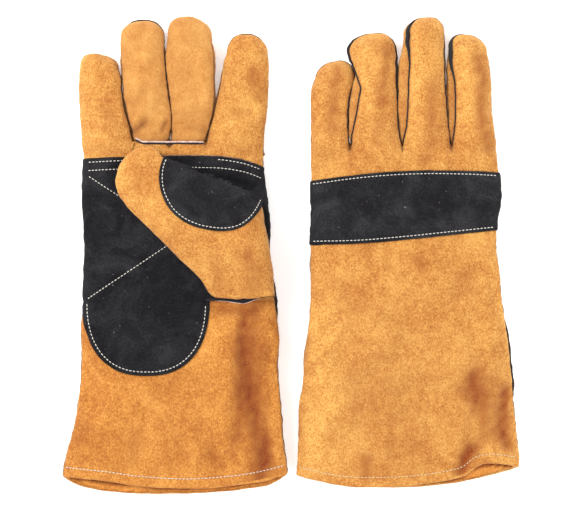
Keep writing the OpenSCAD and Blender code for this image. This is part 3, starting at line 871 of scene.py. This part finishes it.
class Glove:
    """One glove, worked out from its CAD boxes, and the pieces that it is sewn from."""

    def __init__(self, side):
        self.side = side
        self.up = 1 if side == "right" else -1     # 1 where the palm faces up
        back, cuff = box_mm(side + "_back_panel"), box_mm(side + "_cuff_palm")
        self.left = min(back[0][0], cuff[0][0])
        self.right = max(back[1][0], cuff[1][0])
        palm = box_mm(side + "_palm_panel")
        highest = palm[1][2] if side == "right" else back[1][2]
        self.middle = highest - HAND_HALF
        self.crotch = CROTCH_Y[side]
        hinge = JOINTS[side + "_thumb_open"]
        self.thumb_hinge = hinge["pos_m"][0] / MM
        self.ride = (side + "_glove", None)
        self.fingers = {}
        for name in FINGERS:
            low, high = box_mm(f"{side}_{name}_back")
            rows, tip = FINGER_ROWS[side][name]
            rows = [(y, low[0] + a, high[0] - b) for y, a, b in rows]
            self.fingers[name] = (np.array(rows), mix(low[0], high[0], tip),
                                  high[1] - TIP_DROP[side])
        for one, other in zip(FINGERS, FINGERS[1:]):
            a, b = self.fingers[one][0][0], self.fingers[other][0][0]
            if a[2] > b[1]:
                a[2] = b[1] = (a[2] + b[1]) / 2

    # outline and heights

    def edges(self, y):
        inside = curve(OUTLINE[self.side], y)
        return self.left + inside[..., 0], self.right - inside[..., 1]

    def rise(self, y):
        return np.minimum(curve(RISE, y)[..., 0], 1)

    def half(self, y):
        return mix(MOUTH_HALF, HAND_HALF, self.rise(y))

    def spine(self, y):
        return mix(MOUTH_HALF, self.middle, self.rise(y))

    def finger_spine(self, name, y):
        tip = self.fingers[name][2]
        t = np.clip((y - self.crotch) / (tip - self.crotch), 0, 1)
        return mix(self.middle, FINGER_HALF * 0.9, t ** 1.25)

    def across(self, share, y):
        left, right = self.edges(y)
        return mix(left, right, share)

    def share(self, x):
        """Share of the CAD width at an x."""
        return (x - self.left) / (self.right - self.left)

    def across_path(self, table, shares, ahead):
        """Plan points ahead of a line that is given as y at shares of the width."""
        y = curve(table, shares)[:, 0] + ahead
        return np.stack([self.across(shares, y), y], axis=1)

    def height(self, x, y):
        """Height of the skin over the glove's middle plane."""
        plain = self.half(y) * dome(x, *self.edges(y), HAND_POWER)
        lobes = np.zeros_like(plain)
        for name in FINGERS:
            lobes += FINGER_HALF * dome(x, *self.fingers[name][0][0][1:], FINGER_POWER)
        return mix(plain, lobes, smooth((y - self.crotch + 8) / 8))

    # skins

    def seam_angle(self, name, sign, share=0.0):
        """Where a finger's panels end on its left (-1) or right (1) side, at shares of its length."""
        if (name == "little" and sign < 0) or (name == "index" and sign > 0):
            return 0.0 * share
        root, beyond = STRIPS[self.side][0 if sign < 0 else 1]
        return np.radians(mix(root, beyond, 1 - np.exp(-share / 0.13)))

    def root_columns(self):
        """x of the hand's columns at the crotch, and the finger that each one belongs to."""
        x, owner = [], []
        for name in FINGERS:
            a, b = self.fingers[name][0][0][1:]
            middle, half = (a + b) / 2, (b - a) / 2
            for sign in (-1, 1):
                low = self.seam_angle(name, sign)
                angles = low + (math.pi / 2 - low) * FRONT_STEPS
                if low:
                    angles = np.concatenate([[0, low / 2], angles])
                side_x = middle + sign * half * np.cos(angles) ** (2 / FINGER_POWER)
                side_x = side_x if sign < 0 else side_x[::-1][1:]
                x += list(side_x)
                owner += [name] * len(side_x)
        return np.array(x), np.array(owner, object)

    def add_hand(self, skin):
        crotch_x, owner = self.root_columns()
        left, right = self.edges(self.crotch)
        count = len(crotch_x)
        even = np.linspace(0, 1, count)
        plain = 0.5 * even + 0.5 * (1 - np.cos(math.pi * even)) / 2
        sewn = np.isin(owner, ["ring", "middle"])
        for face in (1, -1):
            mouth = curve(MOUTH[(self.side, face)], plain)[:, 0]
            cuff_rows = np.linspace(1, 0, int((WRIST_Y + 172) / ROW))
            cuff_y = WRIST_Y + (mouth[None] - WRIST_Y) * cuff_rows[:, None]
            hand_y = np.linspace(WRIST_Y, self.crotch, int((self.crotch - WRIST_Y) / ROW))[1:]
            y = np.concatenate([cuff_y, np.repeat(hand_y[:, None], count, axis=1)])
            gather = smooth((y - self.crotch + 48) / 48)
            share = mix(plain[None], ((crotch_x - left) / (right - left))[None], gather)
            x = self.across(share, y)
            x[-1] = crotch_x
            high = self.height(x, y)
            high[:, [0, -1]] = 0
            grid = np.stack([x, y, self.spine(y) + self.up * face * high], axis=-1)
            core = np.stack([x, y, self.spine(y)], axis=-1)
            seam = to_sides(grid)
            tag = np.full((len(y) - 1, count - 1), "back_panel", object)
            root = np.full(tag.shape, "", object)
            kind = "front" if face == 1 else "back"
            same = owner[1:] == owner[:-1]
            root[-1, same] = [f"{name}_{kind}" for name in owner[1:][same]]
            if face == 1:
                seam = np.minimum(seam, np.abs(y - WRIST_Y))
                seam[:, sewn] = np.minimum(seam[:, sewn], (self.crotch - y)[:, sewn])
                tag[:] = "palm_panel"
                tag[: len(cuff_y) - 1] = "cuff_palm"
            room = np.where((high < 3) & (y > 0) & (seam > 4), 0.8 * high, FAR)
            skin.add(("hand", face), grid, core, tag, seam, room, root)

    def finger_stations(self, name):
        """Outline points, middle points, half thickness and seam angle along a finger's U."""
        rows, tip_x, tip_y = self.fingers[name]
        last = rows[-1][0]
        y = np.linspace(self.crotch, last, int((last - self.crotch) / ROW) + 1)
        edge = curve(rows, y)
        left = np.stack([edge[:, 0], y], axis=1)
        right = np.stack([edge[:, 1], y], axis=1)
        turn = np.linspace(0, math.pi, 21)[1:-1]
        centre = (left[-1] + right[-1]) / 2
        arm = (left[-1] - right[-1]) / 2
        arc = (centre + arm * rounded(np.cos(turn), TIP_ROUND)[:, None]
               + np.array([0.0, tip_y - last]) * np.sin(turn)[:, None] ** TIP_ROUND
               + np.array([tip_x - centre[0], 0.0]) * (np.sin(turn) ** 2)[:, None])
        edge_points = np.concatenate([left, arc, right[::-1]])
        mids = (left + right) / 2
        mids = np.concatenate([mids, np.repeat(mids[-1:], len(arc), axis=0), mids[::-1]])
        share = (y - self.crotch) / (last - self.crotch)
        fade = smooth((last - 1 - y) / 9)
        end = STRIP_END[self.side].get(name)
        left_angle = self.seam_angle(name, -1, share) * (smooth((end - y) / 20) if end else 1)
        if self.side == "left" and not end:
            left_angle = left_angle * mix(1, 0.72, smooth((y - last + 24) / 22))
        over_tip = left_angle[-1] * smooth(1 - np.arange(1, len(arc) + 1) / TIP_ROWS)
        angle = np.concatenate([left_angle, over_tip,
                                (self.seam_angle(name, 1, share) * fade)[::-1]])
        taper = mix(1.0, 0.92, (mids[:, 1] - self.crotch) / (last - self.crotch))
        return edge_points, mids, FINGER_HALF * taper, angle, len(y)

    def add_finger(self, skin, name):
        edge, mid, half, low, side_count = self.finger_stations(name)
        spine_edge = self.finger_spine(name, edge[:, 1])
        spine_mid = self.finger_spine(name, mid[:, 1])

        def lay(angles):
            across = np.cos(angles)[..., None] ** (2 / FINGER_POWER)
            over = rounded(np.sin(angles), 2 / FINGER_POWER)
            flat = mid[:, None] + (edge - mid)[:, None] * across
            spine = mix(spine_mid[:, None], spine_edge[:, None], across[..., 0])
            grid = np.concatenate([flat, (spine + self.up * half[:, None] * over)[..., None]], -1)
            core = np.broadcast_to(np.concatenate([mid, spine_mid[:, None]], 1)[:, None],
                                   grid.shape)
            return grid, core

        for face, panel in ((1, "front"), (-1, "back")):
            angles = face * (low[:, None] + (math.pi / 2 - low[:, None]) * FRONT_STEPS[None])
            grid, core = lay(angles)
            seam = lengths(grid)
            if face == 1 and name in ("ring", "middle"):
                seam = np.minimum(seam, (edge[:, 1] - self.crotch)[:, None])
            skin.add((name, panel), grid, core, f"{name}_{panel}", seam)
        for which, part in strip_parts(side_count).items():
            if low[part].max() == 0:
                continue
            grid, core = lay(low[:, None] * STRIP_STEPS[None])
            grid, core = grid[part], core[part]
            skin.add((name, which), grid, core, f"{name}_{which}_side", to_sides(grid))

    # pieces

    def name(self, node):
        return f"{self.side}_{node}"

    def sew(self, node, parts, material, ride=None, replaces=None):
        """A piece of threads or cords, that may stand in for a CAD node."""
        piece = plain_piece(self.name(node), parts, material, ride or self.ride)
        if replaces:
            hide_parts(self.name(replaces))

    def finger_ride(self, name):
        start, end = self.crotch * MM, (self.crotch + FINGER_BEND) * MM
        return self.ride[0], (f"{self.side}_{name}", (0, start, 0), (0, end, 0))

    def cut(self, skin, node, material, ride, mask=None, top=0.0, low=-LEATHER, word="leather",
            shade=None):
        """One panel of a skin as a closed piece; a finger's also takes a sunk strip of the hand."""
        if mask is None:
            mask = (skin.tags == node) | (skin.roots == node)
            sunk = np.setdiff1d(skin.faces[skin.roots == node], skin.faces[skin.tags == node])
            top = np.zeros(len(skin.points))
            top[sunk] = -SEWN_IN
        low = np.maximum(low, -skin.room)
        shade = skin.shade if shade is None else shade
        piece = leather_piece(f"{self.name(node)}_{word}", skin.points, skin.normals,
                              skin.faces[mask], shade, material, ride, top, low)
        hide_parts(self.name(node))
        return piece

    def build(self):
        skin = Skin()
        self.add_hand(skin)
        for name in FINGERS:
            self.add_finger(skin, name)
        skin.weld()
        for face in (1, -1):
            rows = skin.indices[("hand", face)]
            skin.normals[rows[:, 0]] = (-1.0, 0.0, 0.0)
            skin.normals[rows[:, -1]] = (1.0, 0.0, 0.0)
        y = skin.points[:, 1]
        banded = smooth((y + 4) / 8) * smooth((72 - y) / 8) * (self.side == "right")
        creases = [(face, *crease) for face in (1, -1)
                   for crease in CREASES.get((self.side, face), ())]
        sculpt(skin, creases, self.up, 0.02 + 2.3 * banded)
        self.skin = skin
        self.cut(skin, "back_panel", TAN if self.side == "left" else CUFF_TAN, self.ride)
        self.cut(skin, "palm_panel", TAN, self.ride)
        self.cut(skin, "cuff_palm", CUFF_TAN, self.ride)
        for name in FINGERS:
            for node in (f"{name}_front", f"{name}_back", f"{name}_outer_side",
                         f"{name}_inner_side"):
                smooth_front = node in ("ring_front", "middle_front") and self.side == "right"
                if node in skin.tags:
                    self.cut(skin, node, SMOOTH_TAN if smooth_front else TAN,
                             self.finger_ride(name))
        self.surface = Surface(skin.points, skin.faces)
        self.make_cuff_inside()
        self.make_piping()
        self.make_wrist_seam()
        self.make_base_seam()
        self.make_palm_patches()
        self.make_knuckle_band()
        self.make_hem_stitches()
        self.make_thumb()

    def make_cuff_inside(self):
        """The turned hem with its fold along the mouth, and the lining inside the panels."""
        skin = self.skin
        cuff = np.isin(skin.tags, ["cuff_palm", "back_panel"])
        centre = skin.points[skin.faces].mean(axis=1)
        share = self.share(centre[:, 0])
        mouth = np.where(skin.tags == "cuff_palm", curve(MOUTH[(self.side, 1)], share)[:, 0],
                         curve(MOUTH[(self.side, -1)], share)[:, 0])
        depth = centre[:, 1] - mouth
        p = skin.points
        share = self.share(p[:, 0])
        lip = curve(MOUTH[(self.side, self.up)], share)[:, 0] - HEM / 2
        # painted shadow on the lower layer just under the upper layer's lip, and painted light on the
        # strip of it that shows below
        lip_shadow_and_light = mix(-0.2, 0.95, smooth((p[:, 1] - lip + 3.1) / 1.8))
        inside = np.where(p[:, 2] < MOUTH_HALF, lip_shadow_and_light, 0)
        self.cut(skin, "cuff_hem", LIT_HEM_TAN, self.ride, cuff & (depth < 10), -LEATHER, -HEM,
                 "turn", inside)
        self.cut(skin, "cuff_lining", INSIDE_TAN, self.ride,
                 cuff & (depth > 8) & (centre[:, 1] < WRIST_Y), *LINING, "cloth", inside)
        hand = (centre[:, 1] > WRIST_Y) & (centre[:, 1] < self.crotch - 26)
        self.cut(skin, "hand_lining", COTTON, self.ride, hand, *LINING, "cloth")
        palm, back = skin.indices[("hand", 1)][0], skin.indices[("hand", -1)][0]
        loop = np.concatenate([palm, back[::-1][1:], palm[1:3]])
        self.sew("cuff_hem_fold", [tube(skin.lifted(loop, -HEM / 2), HEM / 2 + 0.05, 12)],
                 TAN if self.side == "left" else CUFF_TAN, replaces="cuff_hem")

    def seam_line(self, key, column, rows=slice(None), lift=0.3):
        """Points along one column of a grid of the skin, lifted off it."""
        return self.skin.lifted(self.skin.indices[key][rows, column], lift)

    def piping_radius(self, name, count, side_count):
        """Radius along a finger's U: thick where the left glove's tips bulge, fine elsewhere."""
        at = np.arange(count)
        if self.side == "right":
            return PIPING_FINE + 0.4 * bump(at, (count - 1) / 2, 9.0)
        left, right = PIPING_BULGE[name]
        return (PIPING_THICK + left * bump(at, side_count - 1, 5.5)
                + right * bump(at, count - side_count + 6, 9.0))

    def make_piping(self):
        """Black piping in the seams of the fingers and down both sides of the glove."""
        lift = 0.3 if self.side == "left" else 0.0
        for name in FINGERS:
            _, _, _, low, side_count = self.finger_stations(name)
            radius = self.piping_radius(name, len(low), side_count)
            proud = lift
            if self.side == "right" and name in ("ring", "index"):
                proud = 0.9 * bump(np.arange(len(low)), len(low) / 2, 8.0)[:, None]
            front = self.seam_line((name, "front"), 0, lift=proud)
            middle = (front[0, 0] + front[-1, 0]) / 2
            aside = (radius - PIPING_RADIUS).clip(0) * 0.8
            front[:, 0] += aside * np.sign(front[:, 0] - middle)
            parts = [tube(front, radius)]
            for part in strip_parts(side_count).values():
                if low[part].max() > 0:
                    line = self.seam_line((name, "back"), 0, part, lift)
                    if part.start == 0:
                        line[:, 0] -= (radius[part] - PIPING_THICK).clip(0) * 0.9
                    parts.append(tube(line, radius[part]))
            self.sew(f"{name}_piping", parts, PIPING, self.finger_ride(name))
        left_side = self.seam_line(("hand", 1), 0, lift=-0.1 if self.side == "right" else -0.6)
        right_side = self.seam_line(("hand", 1), -1)
        y = right_side[:, 1]
        bottom, top = (-50, 60) if self.side == "right" else (-110, -46)
        plump = smooth((y - bottom) / 14) * smooth((top - y) / 14)
        right_side[:, 0] += 0.9 * plump - 0.3
        self.sew("side_piping", [tube(left_side, PIPING_RADIUS),
                                 tube(right_side, 0.4 + 0.75 * plump)],
                 PIPING, replaces="side_welt")

    def wrist_line(self, share, ahead):
        """Plan points ahead of the wrist seam at shares of the width."""
        y = WRIST_Y + curve(WRIST_SEAM, share)[:, 0] + ahead
        return np.stack([self.across(share, y), y], axis=1)

    def make_wrist_seam(self):
        """The seam across the wrist: hardly raised on the heel patch, piped beside it."""
        share = np.linspace(0.0 if self.up > 0 else UNDER_SHORT, 0.985, 110)
        points, normals = self.surface.drape(self.wrist_line(share, 0.2), self.up, self.middle)
        bare = share > WRIST_BARE
        radius = mix(0.75, 1.3, smooth((0.74 - share) / 0.07))
        self.sew("wrist_piping", [tube((points + normals * 0.8)[bare], radius[bare])], PIPING,
                 replaces="wrist_welt")
        self.sew("wrist_heel_seam", [tube((points + normals * 0.9)[~bare], 0.8)], BLACK)
        edge = share[(share > RAW_SPAN[0]) & (share < RAW_SPAN[1])]
        pale, normals = self.surface.drape(self.wrist_line(edge, -0.85), self.up, self.middle)
        wave = 0.25 + 0.25 * np.sin(edge[:, None] * 60)
        self.sew("wrist_raw_edge", [tube(pale + normals * wave, 0.32)], RAW_EDGE)

    def make_base_seam(self):
        """The seam that joins the ring and middle fronts to the palm, straight across their gap."""
        ring, middle = self.fingers["ring"][0][0], self.fingers["middle"][0][0]
        spans = []
        end, bend = (1.6, 3.2) if self.side == "right" else (3.4, 0.0)
        for a, b in ((ring[1] + end, ring[2] - 3.4), (middle[1] + 3.4, middle[2] - end)):
            x = np.linspace(a, b, 16)
            rise = bend * smooth((ring[1] + 8 - x) / 7)
            spans.append(np.stack([x, self.crotch - 0.6 + rise], axis=1))
        plan = np.concatenate(spans)
        points, normals = self.surface.drape(plan, self.up, self.middle)
        points = resample(points + normals * 0.5, 1.2)
        self.sew("finger_base_raw_edge", [tube(points, 0.7)], RAW_EDGE)
        self.sew("finger_base_piping", [tube(points + (0, -1.4, -0.2 * self.up), 0.8)], PIPING)

    def patch(self, node, surface, plan, lay, ride=None, passes=0):
        """A black patch that stands in for a CAD node; returns its upper surface."""
        material = BLACK if node in ("palm_patch", "heel_patch") else RUBBED_BLACK
        piece, top = patch_piece(self.name(node + "_leather"), surface, plan, lay,
                                 ride or self.ride, material, passes)
        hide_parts(self.name(node))
        return top

    def hand_patch(self, node, plan, facing):
        """A patch on one side of the hand, that goes as far as the seam at the hand's edge."""
        def lay(flat):
            x, y = flat.T
            left, right = self.edges(y)
            edge = smooth((np.abs(2 * x - left - right) / (right - left) - 0.86) / 0.1)[:, None]
            high = self.spine(y) + facing * self.height(x, y)
            beside = self.surface.snap(np.column_stack([x, y, high]))[0]
            return mix(self.surface.drape(flat, facing, high)[0], beside, edge)

        return self.patch(node, self.surface, plan, lay)

    def band_plan(self, bottom, top, rows, facing):
        """Grid of plan points across the hand between two lines given at shares of its width.

        A band that faces down ends a little short of the side seams.
        """
        even = np.linspace(0, 1, BAND_COLUMNS)
        share = mix((1 - np.cos(math.pi * even)) / 2, even, 0.3)
        if facing < 0:
            share = mix(UNDER_SHORT, 1 - UNDER_SHORT, share)
        low, high = curve(bottom, share)[:, 0], curve(top, share)[:, 0]
        t = np.linspace(0, 1, rows)
        t = np.concatenate([[0, 0.35 / rows], t[1:-1], [1 - 0.35 / rows, 1]])[:, None]
        y = mix(low[None], high[None], t)
        return np.stack([self.across(share[None], y), y], axis=-1)

    def make_palm_patches(self):
        up = self.up
        bottom = [(share, WRIST_Y + ahead) for share, ahead in WRIST_SEAM]
        palm = self.hand_patch("palm_patch", self.band_plan(bottom, PALM_PATCH_TOP, 46, up), up)
        threads = []
        for start, end, ahead in PALM_ROWS:
            shares = np.linspace(start, end, 60)
            threads += stitches(palm, self.across_path(PALM_PATCH_TOP, shares, ahead), up)
        for ends in PALM_CROSS:
            share, y = np.array(ends, float).T
            threads += stitches(palm, np.stack([self.across(share, y), y], axis=1), up)
        cut_edge, normals = palm.drape(self.across_path(PALM_PATCH_TOP, np.linspace(0.4, 0.94, 50),
                                                        -0.2), up)
        self.sew("palm_patch_raw_edge", [tube(cut_edge + normals * 0.05, 0.3)], WORN_EDGE)
        centre = self.across(HEEL_MIDDLE, np.array(WRIST_Y))
        turn = np.linspace(math.pi, 2 * math.pi, 70)
        power = 2 / HEEL_POWER
        bow = np.stack([rounded(np.cos(turn), power), -np.abs(np.sin(turn)) ** power], axis=1)
        bow = np.array([centre, WRIST_Y - 0.3]) + bow * (HEEL_WIDE, HEEL_DEEP)
        if up < 0:
            bow[:, 0] = np.maximum(bow[:, 0], self.across(UNDER_SHORT, bow[:, 1]))
        top_edge = np.linspace(bow[-1], bow[0], 40)[1:-1]
        heel = self.hand_patch("heel_patch", loop_plan(np.concatenate([bow, top_edge]),
                                                       (centre, WRIST_Y - 22), 12), up)
        threads += stitches(heel, inset(resample(bow, 1.5), 3.0)[1:-1], up)
        self.sew("palm_threads", threads, THREAD_WHITE)

    def make_knuckle_band(self):
        plan = self.band_plan(BAND_BOTTOM, BAND_TOP, 22, -self.up)
        band = self.hand_patch("knuckle_band", plan, -self.up)
        shares = np.linspace(0.01, 0.985, 60)
        threads = []
        for line, ahead in ((BAND_TOP, -2.4), (BAND_BOTTOM, 2.6)):
            threads += stitches(band, self.across_path(line, shares, ahead), -self.up)
        self.sew("band_threads", threads, THREAD_WHITE)

    def make_hem_stitches(self):
        threads = []
        for face in (1, -1):
            plan = self.across_path(MOUTH[(self.side, face)], np.linspace(0.015, 0.985, 90), 6.0)
            threads += stitches(self.surface, plan, face * self.up)
        self.sew("hem_threads", threads, THREAD_WHITE if self.side == "right" else THREAD_CREAM)

    # thumb

    def thumb_point(self, inward, y, height):
        """Places given inward from the thumb's hinge, along y, and over the middle plane."""
        inward, y, height = np.broadcast_arrays(inward, y, height)
        return np.stack([self.thumb_hinge - inward, y, self.middle + self.up * height], axis=-1)

    def thumb_stations(self):
        """Along the thumb's U: outline, middle line, way out, half thickness and roundness."""
        rows = []
        for i, (back, front, mid, half, power, way) in enumerate(THUMB_RIBS):
            shift = [part[i] if i < len(part) else 0.0 for part in THUMB_ROOT[self.side]]
            rows.append((i, back[0] + shift[0], *back[1:], front[0] + shift[1], *front[1:],
                         mid, half, power, *way))
        ribs = curve(rows, np.linspace(0, len(rows) - 1, 62))
        back, front = ribs[:, 0:3], ribs[:, 3:6]
        centre = (back + front) / 2
        centre[:, 2] = ribs[:, 6]
        way = unit(np.stack([ribs[:, 9], np.zeros(len(ribs)), ribs[:, 10]], axis=1))
        turn = np.linspace(0, math.pi, 29)[1:-1, None]
        arm = (back[-1] - front[-1]) / 2
        arc = (centre[-1] + arm * rounded(np.cos(turn), THUMB_ROUND)
               + np.array([*THUMB_TIP, 0.0]) * np.sin(turn) ** THUMB_ROUND)
        arc[:, 2] = centre[-1, 2]

        def round_the_tip(values):
            last = np.repeat(values[-1:], len(arc), axis=0)
            return np.concatenate([values, last, values[::-1]])

        return (np.concatenate([back, arc, front[::-1]]), round_the_tip(centre),
                round_the_tip(way), round_the_tip(ribs[:, 7:8]), round_the_tip(ribs[:, 8:9]))

    def thumb_skin(self):
        edge, mid, way, half, power = self.thumb_stations()
        skin = Skin()
        steps = np.linspace(0, 1, 17) ** 1.25
        core = self.thumb_point(mid[:, 0], mid[:, 1], mid[:, 2])[:, None]
        for face, panel in ((1, "thumb_outer"), (-1, "thumb_inner")):
            angles = math.pi / 2 * steps[None]
            across = (np.cos(angles) ** (2 / power))[..., None]
            over = (face * np.sin(angles) ** (2 / power) * half)[..., None]
            local = mid[:, None] + (edge - mid)[:, None] * across + way[:, None] * over
            grid = self.thumb_point(local[..., 0], local[..., 1], local[..., 2])
            room = np.maximum(0.85 * np.abs(over[..., 0]), 0.3)
            skin.add(panel, grid, np.broadcast_to(core, grid.shape), panel, lengths(grid), room)
        skin.weld()
        creases = [(1, [(self.thumb_hinge - a, y - wide), (self.thumb_hinge - a, y + wide)], wide,
                    0.5, tone) for a, y, wide, tone in THUMB_CREASES]
        sculpt(skin, creases, self.up, 0.02 if self.side == "right" else 2.4, 0.7)
        return skin

    def make_thumb(self):
        skin = self.thumb_skin()
        bend = [tuple((self.thumb_point(inward, 0, height) * MM).tolist())
                for inward, height in THUMB_BEND]
        ride = (self.ride[0], (self.side + "_thumb", *bend))
        self.cut(skin, "thumb_outer", TAN, ride)
        self.cut(skin, "thumb_inner", TAN, ride)
        surface = Surface(skin.points, skin.faces)
        sewn, front = (smooth_path(path, 1.3) * (-1, 1) + (self.thumb_hinge, 0)
                       for path in (THUMB_PATCH_SEWN, THUMB_PATCH_FRONT))
        centre = (self.thumb_hinge - THUMB_PATCH_CENTRE[0], THUMB_PATCH_CENTRE[1])
        outline = [(self.thumb_hinge - rib[1][0], rib[1][1]) for rib in THUMB_RIBS]

        def lay(flat):
            edge = np.interp(self.thumb_hinge - flat[:, 0], *zip(*THUMB_EDGE))
            low = np.minimum(to_path(flat, outline), 3.0)
            return surface.drape(flat, self.up, self.middle + self.up * (edge - low))[0]

        top = self.patch("thumb_patch", surface,
                         loop_plan(np.concatenate([sewn, front]), centre, 30), lay, ride, 8)
        threads = stitches(top, inset(sewn, 2.5)[2:-2], self.up)
        self.sew("thumb_threads", threads, THREAD_WHITE, ride)
        line = skin.lifted(skin.indices["thumb_outer"][:, 0], 0.2)
        self.sew("thumb_piping", [tube(line, PIPING_RADIUS)], PIPING, ride)


# ---------------------------------------------------------------- scene

def area_light(name, place, aim, size, power, colour=(1, 1, 1)):
    light = bpy.data.lights.new(name, "AREA")
    light.shape = "RECTANGLE"
    light.size, light.size_y = size
    light.energy = power
    light.color = colour
    lamp = add_object(name, light)
    lamp.location = place
    lamp.rotation_euler = (Vector(aim) - Vector(place)).to_track_quat("-Z", "Y").to_euler()


def make_stage():
    """A white floor with a slight light of its own, so that it comes out plain white."""
    mesh = bpy.data.meshes.new("floor")
    wide, under = 3.0, -0.0005
    mesh.from_pydata([(-wide, -wide, under), (wide, -wide, under), (wide, wide, under),
                      (-wide, wide, under)], [], [(0, 1, 2, 3)])
    floor = add_object("floor", mesh)
    material, _, shader = new_material("studio_floor", 0.9)
    shader.inputs["Base Color"].default_value = (0.95, 0.95, 0.95, 1)
    shader.inputs["Emission Color"].default_value = (1, 1, 1, 1)
    shader.inputs["Emission Strength"].default_value = 0.3
    mesh.materials.append(material)
    world = bpy.data.worlds.new("studio")
    world.use_nodes = True
    world.node_tree.nodes["Background"].inputs["Color"].default_value = (1, 1, 1, 1)
    world.node_tree.nodes["Background"].inputs["Strength"].default_value = 1.5
    bpy.context.scene.world = world
    area_light("key", (-1.1, 0.75, 1.3), (0, 0, 0), (0.9, 0.9), 23)
    area_light("fill", (1.0, -0.9, 1.4), (0, 0, 0), (1.2, 1.2), 9)


def make_camera():
    """A long lens straight above, framed as a catalogue photograph of the pair."""
    distance, view_width, sensor = 3.2, 0.436, 36.0
    camera = bpy.data.cameras.new("camera")
    camera.sensor_width = sensor
    camera.lens = sensor * distance / view_width
    holder = add_object("camera", camera)
    holder.location = (0.0, -0.0015, distance)
    bpy.context.scene.camera = holder
    bpy.context.scene.view_settings.view_transform = "Standard"


make_camera()
make_stage()
for side in ("right", "left"):
    Glove(side).build()
